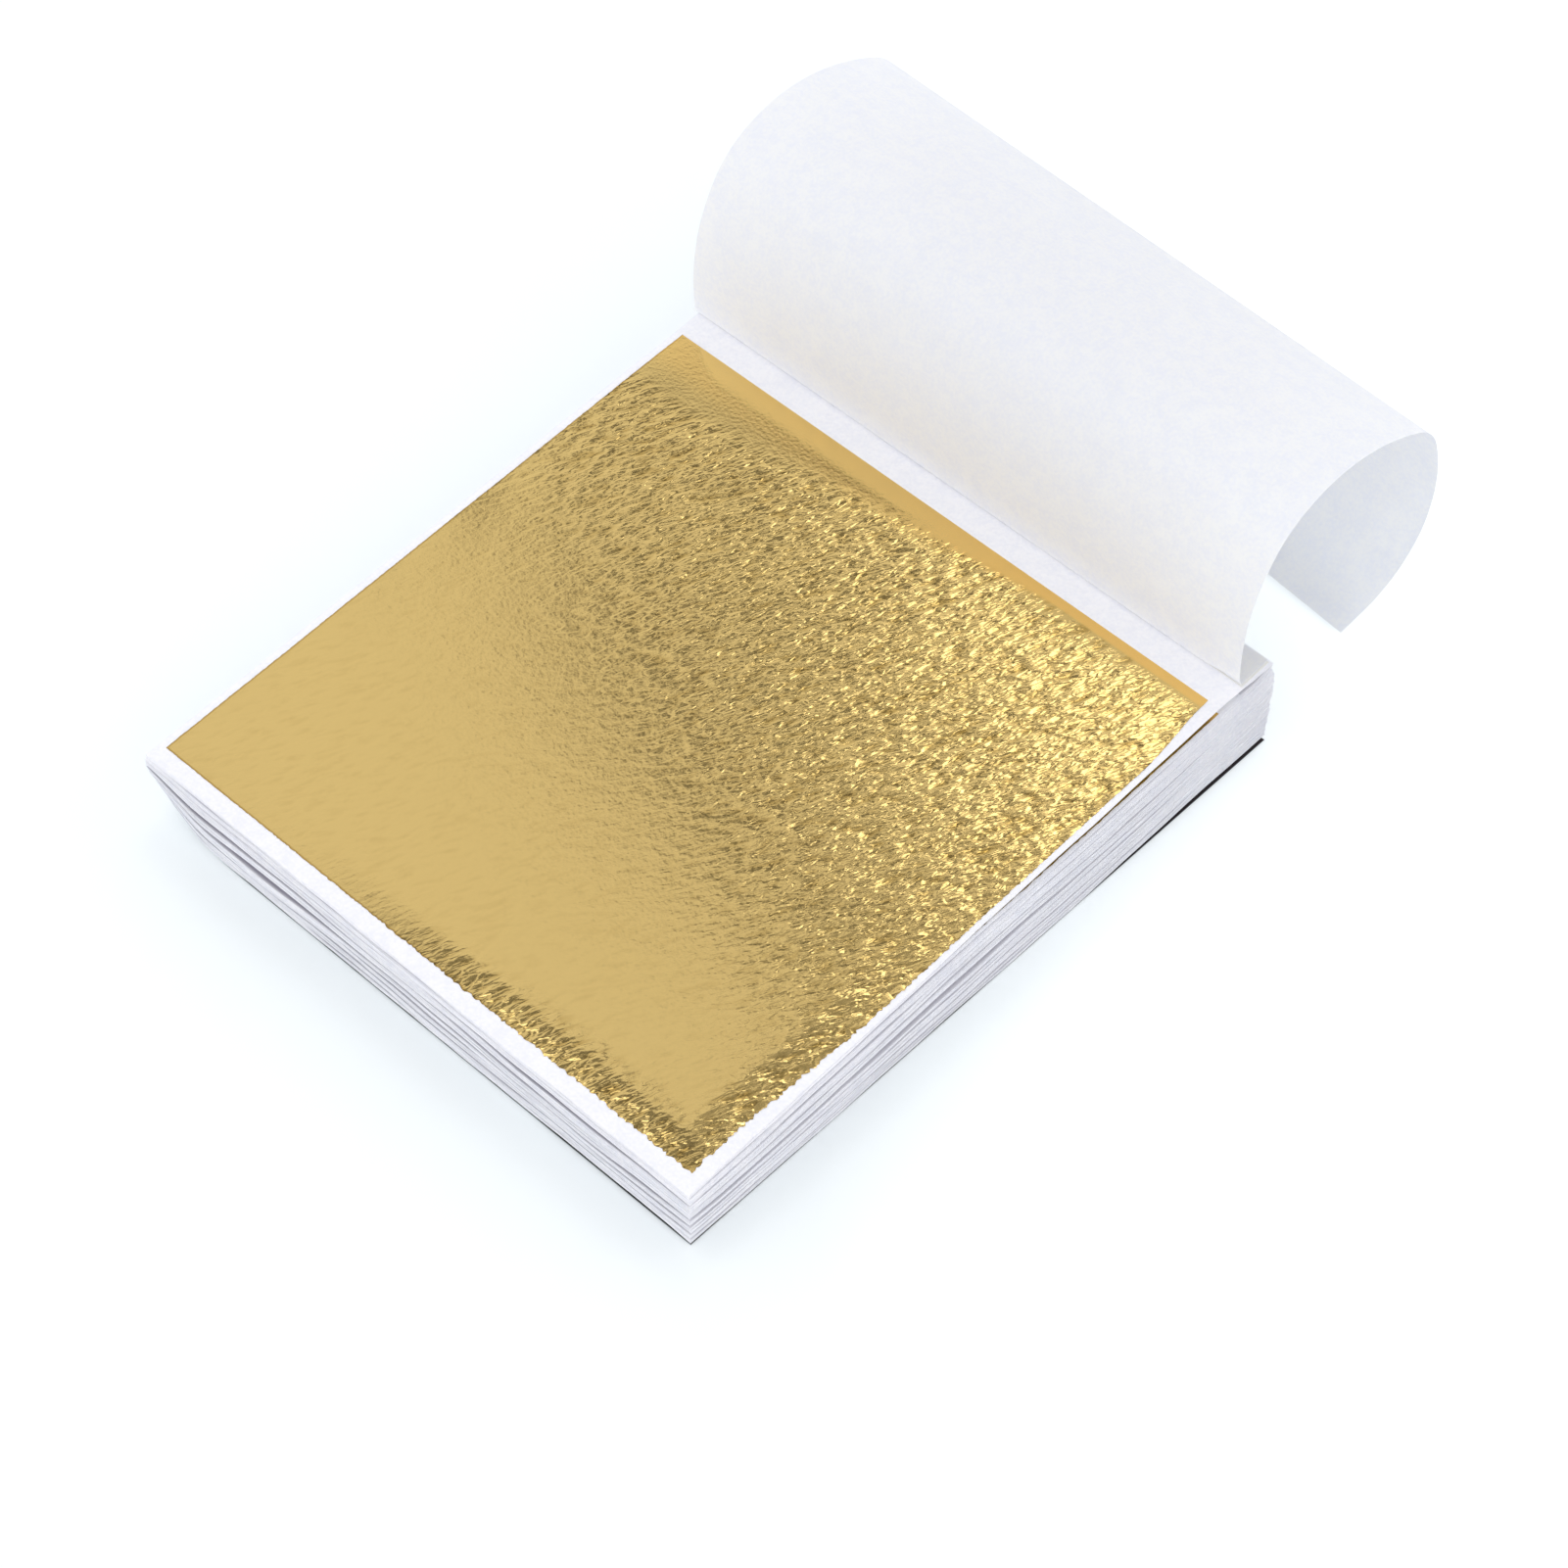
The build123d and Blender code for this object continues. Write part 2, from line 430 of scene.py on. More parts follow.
def tissue_material(name):
    """Machine glazed tissue, bleached: a matt white sheet with clouds where its fibres lie thin, and fine
    fibre relief. Both give the eye a soft, slightly uneven white with no gloss. Between closed pages it is
    shaded, which draws the block's open gaps as grey lines. The turned page, one sheet in the open, also lets
    the light behind it through, and is painted whiter than the other pages: painted light."""
    settings = bpy.context.scene.leaf_booklet_tissue
    white, cloud = settings.colour, settings.cloud_colour
    # Painted light: the turned page is drawn whiter than the other pages
    if name == OPEN_TISSUE_PAINTED_LIGHTER:
        white, cloud = linear("#FFFFFF"), linear("#F9FAFE")
    material, tree = new_material(name)
    place = add_node(tree, "ShaderNodeTexCoord").outputs["Object"]
    # The formation's clouds are about 1.6 mm across. Fibre flecks are finer than 0.1 mm on the real tissue
    # and are drawn 0.4 mm across, so that they show.
    clouds = add_node(tree, "ShaderNodeTexNoise", {"Vector": place, "Scale": 1 / (1.6 * MM), "Detail": 2.0})
    flecks = add_node(tree, "ShaderNodeTexNoise", {"Vector": place, "Scale": 1 / (0.4 * MM), "Detail": 1.0})
    formation = add_node(tree, "ShaderNodeMath", {0: flecks, 1: 1.1, 2: clouds}, operation="MULTIPLY_ADD")
    share = add_node(tree, "ShaderNodeMapRange", {"Value": formation, "From Min": 0.80, "From Max": 1.35})
    tones = {"Factor": share, "A": rgba(white), "B": rgba(cloud)}
    colour = add_node(tree, "ShaderNodeMix", tones, data_type="RGBA")
    between = add_node(tree, "ShaderNodeAttribute", attribute_name="between").outputs["Fac"]
    shades = {"Factor": between, "A": colour, "B": rgba(settings.shade_colour)}
    shaded = add_node(tree, "ShaderNodeMix", shades, data_type="RGBA")
    bump = add_node(tree, "ShaderNodeBump", {"Height": formation, "Strength": 0.25, "Distance": 0.04 * MM})
    paper = {"Base Color": shaded, "Normal": bump, "Roughness": 0.82, "IOR": 1.5}
    surface = add_node(tree, "ShaderNodeBsdfPrincipled", paper)
    if name == OPEN_TISSUE_PAINTED_LIGHTER:
        through = add_node(tree, "ShaderNodeBsdfTranslucent", {"Color": colour})
        surface = add_node(tree, "ShaderNodeMixShader", {0: SEE_THROUGH, 1: surface, 2: through})
    add_node(tree, "ShaderNodeOutputMaterial", {"Surface": surface})
    return material


def leaf_material(name):
    """Beaten brass leaf, laid loose and crinkled: a bright metal, nearly a mirror, whose small ridges throw
    the light about. Its valleys have painted shade, a deeper colour for the light that strikes them more than
    once."""
    settings = bpy.context.scene.leaf_booklet_leaf
    material, tree = new_material(name)
    place = add_node(tree, "ShaderNodeTexCoord").outputs["Object"]
    valley, strip, crinkled = (
        add_node(tree, "ShaderNodeAttribute", attribute_name=mark).outputs["Fac"]
        for mark in ("valley", "strip", "crinkled")
    )
    # Small creases between the ridges of the mesh, half as wide as those are and three times as long as wide,
    # laid the same way
    laid = {"Vector": place, "Rotation": (0, 0, CRINKLE_TURN), "Scale": (3.0, 1.0, 1.0)}
    turned = add_node(tree, "ShaderNodeMapping", laid, vector_type="TEXTURE")
    crease = {"Vector": turned, "Scale": 2 / settings.crinkle_width, "Detail": 1.0, "Distortion": 0.5}
    creases = add_node(tree, "ShaderNodeTexNoise", crease)
    # Hammer grain: about 0.3 mm across on the real leaf, drawn 0.45 mm across so that it shows
    grain = add_node(tree, "ShaderNodeTexNoise", {"Vector": place, "Scale": 1 / (0.45 * MM), "Detail": 1.0})
    creased = add_node(tree, "ShaderNodeMath", {0: creases, 1: crinkled}, operation="MULTIPLY")
    relief = add_node(tree, "ShaderNodeMath", {0: grain, 1: 0.10, 2: creased}, operation="MULTIPLY_ADD")
    bump = add_node(tree, "ShaderNodeBump", {"Height": relief, "Strength": 1.0, "Distance": 0.06 * MM})
    valley_shade_tones = {"Factor": valley, "A": rgba(settings.colour), "B": rgba(settings.valley_shade_colour)}
    painted_valley_shade = add_node(tree, "ShaderNodeMix", valley_shade_tones, data_type="RGBA")
    tones = {"Factor": strip, "A": painted_valley_shade, "B": rgba(settings.strip_colour)}
    colour = add_node(tree, "ShaderNodeMix", tones, data_type="RGBA")
    brass = {"Base Color": colour, "Normal": bump, "Metallic": 1.0, "Roughness": 0.11}
    add_node(tree, "ShaderNodeOutputMaterial", {"Surface": add_node(tree, "ShaderNodeBsdfPrincipled", brass)})
    return material


def glue_material(name):
    """Padding glue, brushed on and dried: milky and slightly glossy, with faint streaks about 1.5 mm wide."""
    material, tree = new_material(name)
    place = add_node(tree, "ShaderNodeTexCoord").outputs["Object"]
    streaks = add_node(tree, "ShaderNodeTexNoise", {"Vector": place, "Scale": 1 / (1.5 * MM)})
    tones = {"Factor": streaks, "A": rgba(linear("#F4F3EE")), "B": rgba(linear("#E6E5E0"))}
    colour = add_node(tree, "ShaderNodeMix", tones, data_type="RGBA")
    glue = {"Base Color": colour, "Roughness": 0.4, "IOR": 1.48}
    add_node(tree, "ShaderNodeOutputMaterial", {"Surface": add_node(tree, "ShaderNodeBsdfPrincipled", glue)})
    return material


TISSUE = "machine_glazed_tissue"
OPEN_TISSUE_PAINTED_LIGHTER = "machine_glazed_tissue_single_sheet_painted_lighter"
LEAF = "beaten_brass_leaf"
GLUE = "dried_padding_glue"
# Each finish's material and its slot in the record
FINISHES = {
    TISSUE: (tissue_material, "tissue_paper"),
    OPEN_TISSUE_PAINTED_LIGHTER: (tissue_material, "tissue_paper"),
    LEAF: (leaf_material, "imitation_gold_leaf"),
    GLUE: (glue_material, "binding_glue"),
}


def dressed(name, points, faces, finish):
    """A new piece in one of the booklet's finishes."""
    make, slot = FINISHES[finish]
    return new_piece(name, points, faces, material_named(finish, make))


# Pieces
def second_page_gap(x, y):
    """Gap between the second page and the third along its right edge, widest near the crease."""
    gap = bpy.context.scene.leaf_booklet_tissue.page_lift / MM
    return gap * ramp(y, -14, 20) * ramp(y, SPINE, SPINE - 3) * faded(RIGHT - x, SINK_REACH)


# How much of the gap under the second page each turning page is lifted by
LIFT_SHARES = {1: 1.0, 2: 1.0, 3: 0.12, 4: 0.04}


def lifted(page_number, x, y):
    """Extra height of a turning page, on top of where its level lies."""
    return LIFT_SHARES.get(page_number, 0) * second_page_gap(x, y)


# The glue's puckers in the tissue: their height, and how far they run along the spine and across it
PUCKER_HEIGHT = 0.05
PUCKER_LENGTH = 1.1
PUCKER_WIDTH = 0.8


def cockle(x, y):
    """Glue has puckered the tissue between the leaf and the crease."""
    band = ramp(y, LEAF_HIGH[1] + 0.2, LEAF_HIGH[1] + 1.0) * ramp(y, CREASE + 2, CREASE - 1)
    places = zip(np.ravel(x).tolist(), np.ravel(y).tolist())
    puckers = [noise.noise((a / PUCKER_LENGTH, b / PUCKER_WIDTH, 3.0)) for a, b in places]
    return PUCKER_HEIGHT * band * np.array(puckers).reshape(np.shape(x))


# Points across a turning page, and along its margin
PAGE_POINTS = 150
MARGIN_POINTS = 13


def page_grid(page_number, y_values):
    """Lower and upper points of the part of a turning page at the y values."""
    level = TOP_LEVEL + 1 - page_number
    xs, ys = np.meshgrid(np.linspace(LEFT, RIGHT, PAGE_POINTS), y_values)
    lower_z = stack().heights(xs, ys)[level].reshape(xs.shape) + lifted(page_number, xs, ys) + cockle(xs, ys)
    dx, dy = stack().outline_shift(level, xs, ys)
    lower = np.stack([xs + dx, ys + dy, lower_z], -1)
    upper = lower + np.array([0, 0, PAGE_THICKNESS])
    return lower, upper


def make_lifting_page(page_number):
    """The free part of a closed page and its bound margin."""
    # Rows lie close together where the edge ripples and where the glue has puckered the tissue
    ripples_end, puckers_start = FORE + 9, LEAF_HIGH[1] - 0.4
    rippled = np.linspace(FORE, ripples_end, 10)
    plain = np.linspace(ripples_end, puckers_start, 26)[1:]
    puckered = np.linspace(puckers_start, CREASE, 13)[1:]
    body = f"page_{page_number:02d}"
    points, faces = closed_grid(*page_grid(page_number, np.concatenate([rippled, plain, puckered])))
    page = dressed(f"tissue_page_{page_number:02d}", points, faces, TISSUE)
    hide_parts(body)
    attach(page, f"{body}_body")
    points, faces = closed_grid(*page_grid(page_number, np.linspace(CREASE, SPINE, MARGIN_POINTS)))
    margin = dressed(f"tissue_margin_{page_number:02d}", points, faces, TISSUE)
    # Shaded inside the block, but not at the edges, nor on top of the margin in the open
    inner = np.zeros((2, MARGIN_POINTS, PAGE_POINTS))
    inner[:, :-1, 1:-1] = 1
    inner[1] *= page_number > LIFTING_PAGES[0]
    mark_points(margin, "between", inner)
    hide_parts(f"{body}_margin")
    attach(margin, "bound_block")


class LEAFBOOKLET_OT_lifting_pages(bpy.types.Operator):
    """Adds the closed pages that can be lifted, with their bound margins"""

    bl_idname = "leaf_booklet.lifting_pages"
    bl_label = "Lifting pages"

    def execute(self, context):
        for page_number in LIFTING_PAGES:
            make_lifting_page(page_number)
        return {"FINISHED"}


# The turned page hangs a little to the left of the block, in x, y and z
PAGE_SHIFT = np.array([-0.5, 0, 0])
# How far the fold's curve reaches on each side of the crease
FOLD_REACH = 0.45
# Points across the turned page, and rows along its parts
TURNED_COLUMNS = 56
BEND_ROWS = 15
FREE_END_ROWS = 8
MARGIN_ROWS = 11
FOLD_ROWS = 8
FIRST_STRIP_ROWS = 7
# Degrees that each bend's range goes past the bend
RANGE_SPARE = 0.01


def rulings():
    """The turned page's bend lines from the joints: points along each, from its right end to its left. Also
    the direction up the last strip."""
    names = ["page_01_turn"] + sorted(name for name in JOINTS if name.startswith("page_01_bend"))
    share = np.linspace(0, 1, TURNED_COLUMNS)[:, None]
    lines = []
    for name in names:
        joint = JOINTS[name]
        axis = np.array(joint["axis"], float)
        start = np.array(joint["pos_m"], float) / MM
        reach = -joint["range_deg"][0]
        if not lines:
            slope = math.atan((SPINE_PITCH - FORE_PITCH) * TOP_LEVEL / (SPINE - FORE))
            lean = math.radians(reach) - slope
            up = np.array([0, -math.cos(lean), math.sin(lean)])
            left_side = axis
        else:
            turn = Matrix.Rotation(math.radians(reach - RANGE_SPARE), 3, Vector(axis))
            up = np.array(turn @ Vector(up))
            left_side = np.array(turn @ Vector(left_side))
        length = (RIGHT - LEFT) / float(axis @ left_side)
        lines.append(start + share * length * axis)
    return lines, up


def curve(start, corner, end, t):
    """A row of points on the parabola that leaves start and reaches end along the two flat strips."""
    return (1 - t) ** 2 * start + 2 * t * (1 - t) * corner + t**2 * end


class LEAFBOOKLET_OT_turned_page(bpy.types.Operator):
    """Adds the top page, folded back at its crease and curling over behind the spine"""

    bl_idname = "leaf_booklet.turned_page"
    bl_label = "Turned page"

    def execute(self, context):
        lines, up = rulings()
        length = CREASE - FORE
        right_end = length / len(lines)
        left_step = np.linalg.norm(lines[-1][-1] - lines[-2][-1])
        left_end = length - left_step * (len(lines) - 1)
        free_edge = lines[-1] + np.linspace(right_end, left_end, TURNED_COLUMNS)[:, None] * up
        corners = lines + [free_edge]
        middles = [(a + b) / 2 for a, b in zip(corners, corners[1:])]
        self.crease_piece(lines[0], middles[0])
        for strip in range(1, len(lines)):
            before, corner, after = middles[strip - 1], corners[strip], middles[strip]
            rows = [curve(before, corner, after, t) for t in np.linspace(0, 1, BEND_ROWS)]
            if strip == len(lines) - 1:
                rows += [after + (free_edge - after) * t for t in np.linspace(0, 1, FREE_END_ROWS)[1:]]
            grid = np.array(rows) + PAGE_SHIFT
            piece = self.sheet(f"turned_page_part_{strip + 1:02d}", grid, [f"page_01_strip_{strip + 1:02d}"])
            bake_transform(piece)
        return {"FINISHED"}

    def sheet(self, name, middle, replaced):
        """A closed sheet round its middle surface."""
        normal = np.cross(np.gradient(middle, axis=0), np.gradient(middle, axis=1))
        normal /= np.linalg.norm(normal, axis=-1, keepdims=True)
        half = normal * PAGE_THICKNESS / 2
        points, faces = closed_grid(middle + half, middle - half)
        piece = dressed(name, points, faces, OPEN_TISSUE_PAINTED_LIGHTER)
        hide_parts(*replaced)
        return piece

    def crease_piece(self, crease, middle):
        """The bound margin, the fold and the first half strip in one piece."""
        xs = np.linspace(RIGHT, LEFT, TURNED_COLUMNS)
        rows = []
        for y in np.linspace(SPINE, CREASE + FOLD_REACH, MARGIN_ROWS):
            ys = np.full(xs.shape, y)
            z = stack().heights(xs, ys)[TOP_LEVEL] + lifted(1, xs, ys) + PAGE_THICKNESS / 2
            rows.append(np.stack([xs, ys + (stack().shift["spine"][TOP_LEVEL] if y == SPINE else 0), z], -1))
        margin_end = rows[-1]
        raised = lifted(1, xs, np.full(xs.shape, CREASE))[:, None] * np.array([0, 0, 1.0])
        upwards = middle - crease
        upwards = upwards / np.linalg.norm(upwards, axis=1, keepdims=True)
        fold_end = crease + upwards * FOLD_REACH
        for t in np.linspace(0, 1, FOLD_ROWS)[1:]:
            rows.append(curve(margin_end, crease + raised, fold_end + raised, t))
        for t in np.linspace(0, 1, FIRST_STRIP_ROWS)[1:]:
            rows.append(fold_end + (middle - fold_end) * t + raised * (1 - t))
        grid = np.array(rows) + PAGE_SHIFT
        piece = self.sheet("turned_page_part_01", grid, ["page_01_margin", "page_01_strip_01"])
        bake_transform(piece)


# Raggedness of the leaves' cut edges: teeth to a millimetre, their least height, and how much higher they are
# at the near corner
TEETH = 3.1
TOOTH_HEIGHT = 0.05
NEAR_TOOTH_HEIGHT = 0.30
# How far the top leaf's right edge bulges outwards
BULGE = 1.0
# Where the second leaf shows under its page's right edge: it stops this far inside the page's edge
ASKEW_MARGIN = 0.2


def leaf_outline(leaf_number, low, high, x, y):
    """Ragged cut edges, more so towards the near corner. The top leaf's right edge bulges outwards. The
    second leaf lies askew: its right edge comes out to its page's edge near the spine, where it shows as a
    brown line under the page above."""
    height = TOOTH_HEIGHT + NEAR_TOOTH_HEIGHT * ramp(x, low[0], high[0]) * ramp(y, high[1], low[1])
    dx = np.array([noise.noise((TEETH, float(b) * TEETH, 0.5)) for b in y[:, 0]])[:, None] * height
    dy = np.array([noise.noise((float(a) * TEETH, 9.2, 0.5)) for a in x[0]])[None, :] * height
    on_right = np.abs(x - high[0]) < ON_EDGE
    on_side = on_right | (np.abs(x - low[0]) < ON_EDGE)
    on_end = np.abs(y - low[1]) < ON_EDGE
    outward = 0
    if leaf_number == 1:
        share_y = (y - low[1]) / (high[1] - low[1])
        outward = BULGE * ramp(share_y, 0.05, 0.35) * ramp(share_y, 1, 0.85) * ramp(x, high[0] - 10, high[0])
    if leaf_number == 2:
        outward = (RIGHT - high[0] - ASKEW_MARGIN) * ramp(y, -26, -2) * on_right
    return dx * on_side + outward, dy * on_end


def crinkles(x, y, width, length, seed):
    """Relief of crinkled leaf, about -1 to 1: waves, sharp worm-like ridges and fine creases, which bend but
    run much the same way."""
    along = (x * math.cos(CRINKLE_TURN) + y * math.sin(CRINKLE_TURN)) / length
    across = (y * math.cos(CRINKLE_TURN) - x * math.sin(CRINKLE_TURN)) / width
    values = []
    for a, b in zip(np.ravel(along).tolist(), np.ravel(across).tolist()):
        bend = 0.9 * noise.noise((a * 0.5, b * 0.35, seed + 5.0))
        wave = noise.noise((a * 1.1, b * 1.75 + bend, seed))
        ridge = math.exp(-((noise.noise((a * 0.8 + bend, b * 1.3 - bend, seed + 9.0)) / 0.10) ** 2))
        fine = noise.noise((a * 2.0 - bend, b * 3.2, seed + 2.0))
        values.append(1.2 * wave + 0.7 * ridge + 0.35 * fine - 0.24)
    return np.array(values).reshape(x.shape)


def crinkled_share(low, high, x, y, settings):
    """How strongly the leaf is crinkled: least at the left fore corner, most towards the right edge, not at
    all on the smooth strip at the spine side, which narrows to the right."""
    from_right, from_fore, from_spine = high[0] - x, y - low[1], high[1] - y
    share = 0.15 + 0.65 * ramp(x * 0.43 + y * 0.89, -16, 8)
    share = share + 0.35 * ramp(x, -4, 30) * ramp(y, -12, 8)
    # The fringe along the two edges at the near corner, and its outermost millimetre
    fringe = np.maximum(faded(from_fore, 7), faded(from_right, 7))
    share = np.maximum(share, 1.25 * ramp(x, -12, 18) * fringe)
    rim = np.maximum(faded(from_fore, 1.0), faded(from_right, 1.0))
    share = share + 0.6 * rim * ramp(x, -8, 18)
    smooth = smooth_width(x, settings)
    return share * ramp(from_spine, 0.7 * smooth, 1.3 * smooth)


def smooth_width(x, settings):
    """Width of the smooth part at the spine side, wider towards the left."""
    return settings.smooth_strip / MM + 8.0 * ramp(x, 20, -42)


# Slope at which the top leaf falls over its smooth part, and the share of that part in which the fall begins
FALL_SLOPE = 0.005
FALL_START = 0.15
# How far from the smooth part the leaf is raised
RAISED_REACH = 45


def smooth_fall(high, x, y, settings):
    """The top leaf is a little raised by the pages below and falls over its smooth part to the edge."""
    width = smooth_width(x, settings)
    from_edge = high[1] - y
    along = np.clip(1 - from_edge / width, 0, 1)
    fallen = FALL_SLOPE * width * (along - FALL_START * (1 - np.exp(-along / FALL_START)))
    crest = FALL_SLOPE * width * (1 - FALL_START)
    return crest * faded(from_edge - width, RAISED_REACH) - fallen


# Heights of a leaf over its page, in millimetres: between its ridges and valleys, and least of all
LEAF_LIFT = 0.03
LEAST_LIFT = 0.006
# How much pages that lie on the lower leaves press their crinkles flat
PRESSED = 0.4


def leaf_top(leaf_number, low, high, x, y, settings):
    """Height of the leaf above its page, and for each point how much painted valley shade it takes, how much
    it is on the smooth strip and how crinkled it is."""
    seed = leaf_number * 1.7
    relief = crinkles(x, y, settings.crinkle_width / MM, settings.crinkle_length / MM, seed)
    share = crinkled_share(low, high, x, y, settings)
    # The strip is wider, softer at its edge and less red towards the left
    left_part = ramp(x, 22, -8)
    strip_width = settings.smooth_strip / MM * (1 + 3.0 * left_part)
    blur = 0.3 + 4.0 * left_part
    strip = faded(high[1] - y - strip_width + blur / 2, blur) * (0.8 - 0.45 * left_part)
    pressed = 1.0 if leaf_number == 1 else PRESSED
    height = settings.crinkle_height / MM / 3 * relief * share * pressed
    seated = np.maximum(height + LEAF_LIFT * pressed, LEAST_LIFT)
    # Painted shade in the crinkles' valleys, deepest where the relief is lowest
    valley = np.clip(-0.15 - relief * 0.9, 0, 1) * np.clip(share, 0, 1)
    # Painted shade: the cut edge is deeper in colour, least at the near corner
    rim = np.minimum(x - low[0], y - low[1]) < 0.2
    valley = np.maximum(valley, rim * ramp(x, 24, 4))
    if leaf_number == 1:
        seated = seated + smooth_fall(high, x, y, settings)
    # Painted shade: the second leaf's last millimetre on the right takes the valley colour, which darkens the
    # slit under the page above
    if leaf_number == 2:
        valley = np.maximum(valley, high[0] - x < 1.0)
    return seated, {"valley": valley, "strip": strip, "crinkled": share}


# Rings of a leaf's underside, as millimetres in from its edge
LEAF_RINGS = (0.0, 1.0, 4.0, 12.0)
# Height of a leaf's underside over its page, inside its edge
UNDERSIDE_LIFT = 0.003


def make_leaf(leaf_number, spacing):
    """A crinkled leaf on its page: a fine grid on top, closed below by a few rings."""
    settings = bpy.context.scene.leaf_booklet_leaf
    node = f"gold_leaf_{leaf_number:02d}"
    low, high = node_box(node)
    level = TOP_LEVEL - leaf_number
    across, along = round((high[0] - low[0]) / spacing), round((high[1] - low[1]) / spacing)
    xs, ys = np.meshgrid(np.linspace(low[0], high[0], across + 1), np.linspace(low[1], high[1], along + 1))

    def seat(x, y):
        """Top of the page under the leaf."""
        return stack().heights(x, y)[level].reshape(x.shape) + lifted(leaf_number + 1, x, y) + PAGE_THICKNESS

    seated, shades = leaf_top(leaf_number, low, high, xs, ys, settings)
    dx, dy = leaf_outline(leaf_number, low, high, xs, ys)
    top = np.stack([xs + dx, ys + dy, seat(xs + dx, ys + dy) + seated + LEAF_THICKNESS], -1).reshape(-1, 3)
    rim = rim_of(along + 1, across + 1)
    rings = []
    for inset in LEAF_RINGS:
        x, y = rectangle_ring(low, high, inset, across, along)
        rings.append(np.stack([x, y, seat(x, y) + UNDERSIDE_LIFT], -1))
    rings[0] = top[rim] - np.array([0, 0, LEAF_THICKNESS])
    rings = np.array(rings)
    index = len(top) + np.arange(len(rings) * len(rim)).reshape(-1, len(rim))
    after = np.roll(index, -1, axis=1)
    below = np.stack([index[1:], after[1:], after[:-1], index[:-1]], -1).reshape(-1, 4)
    edge = np.stack([index[0], after[0], np.roll(rim, -1), rim], -1)
    faces = grid_faces(along + 1, across + 1).tolist() + edge.tolist() + below[:, ::-1].tolist()
    faces.append(index[-1, ::-1].tolist())
    points = np.concatenate([top, rings.reshape(-1, 3)])
    leaf = dressed(f"crinkled_leaf_{leaf_number:02d}", points, faces, LEAF)
    for name, values in shades.items():
        mark_points(leaf, name, np.concatenate([np.ravel(values), np.zeros(index.size)]))
    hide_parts(node)
    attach(leaf, f"{node}_body")


# Spacing of the points on the top leaf, and on the leaves that pages cover
FINE_SPACING = 0.28
COARSE_SPACING = 0.6


class LEAFBOOKLET_OT_top_leaf(bpy.types.Operator):
    """Adds the gold leaf that lies in full view on the second page"""

    bl_idname = "leaf_booklet.top_leaf"
    bl_label = "Top gold leaf"

    def execute(self, context):
        make_leaf(1, FINE_SPACING)
        return {"FINISHED"}


class LEAFBOOKLET_OT_next_leaves(bpy.types.Operator):
    """Adds the gold leaves under the pages that can be lifted"""

    bl_idname = "leaf_booklet.next_leaves"
    bl_label = "Next gold leaves"

    def execute(self, context):
        for leaf_number in LIFTING_PAGES:
            make_leaf(leaf_number, COARSE_SPACING)
        return {"FINISHED"}


def bundle_nodes(start):
    """The frame's nodes whose names begin with start, from the top bundle down."""
    return sorted(name for name in frame["nodes"] if name.startswith(start))


# Rings of the sheets in a page bundle: how far in each lies, and how much it shifts with the sheet's edge
BUNDLE_RINGS = ((0.0, 1.0), (0.2, 0.8), (1.2, 0), (3.5, 0), (9.0, 0))
# A gap is shaded from this many times its usual width on, and fully so from the second number on
SHADED_FROM = 1.4
FULLY_SHADED_FROM = 3.0
# How much of that shade the right side gets
RIGHT_SHADE = 0.55


class LEAFBOOKLET_OT_page_bundles(bpy.types.Operator):
    """Adds the closed pages of the block, sheet by sheet, in the frame's bundles"""

    bl_idname = "leaf_booklet.page_bundles"
    bl_label = "Page bundles"

    def execute(self, context):
        low, high = np.array([LEFT, FORE]), np.array([RIGHT, SPINE])
        insets, follows = zip(*BUNDLE_RINGS)
        rings, heights = laid_rings(low, high, insets, 44, 48)
        # Shade of the space above each sheet: only where it is open wider than most are, and not at the edge
        spaces = np.array([np.diff(height, axis=0) - PAGE_THICKNESS for height in heights])
        usual = np.array([stack().pitch(y) - PAGE_THICKNESS for x, y in rings])[:, None]
        on_right = np.array([x > RIGHT - 1.5 for x, y in rings])[:, None]
        shades = ramp(spaces / usual, SHADED_FROM, FULLY_SHADED_FROM)
        shades *= np.where(on_right, RIGHT_SHADE, 1)
        shades[0] = 0
        unshaded = np.zeros(shades[:, 0].shape)
        top_of_bundles = TOP_LEVEL - len(LIFTING_PAGES) - 1
        for node in bundle_nodes("page_bundle_"):
            box_low, box_high = node_box(node)
            first = round(box_low[2] / FORE_PITCH)
            last = round((box_high[2] - PAGE_THICKNESS) / SPINE_PITCH)
            sheets, between = [], []
            for level in range(first, last + 1):
                lower = []
                dx, dy = stack().outline_shift(level, *rings[0])
                for (x, y), height, follow in zip(rings, heights, follows):
                    lower.append(np.stack([x + dx * follow, y + dy * follow, height[level]], -1))
                lower = np.array(lower)
                sheets.append((lower, lower + np.array([0, 0, PAGE_THICKNESS])))
                between.append(shades[:, level - 1] if level > 0 else unshaded)
                between.append(shades[:, level] if level < top_of_bundles else unshaded)
            piece = dressed(node.replace("page_bundle", "tissue_bundle"), *ringed_sheets(sheets), TISSUE)
            mark_points(piece, "between", between)
            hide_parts(node)
            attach(piece, "bound_block")
        return {"FINISHED"}


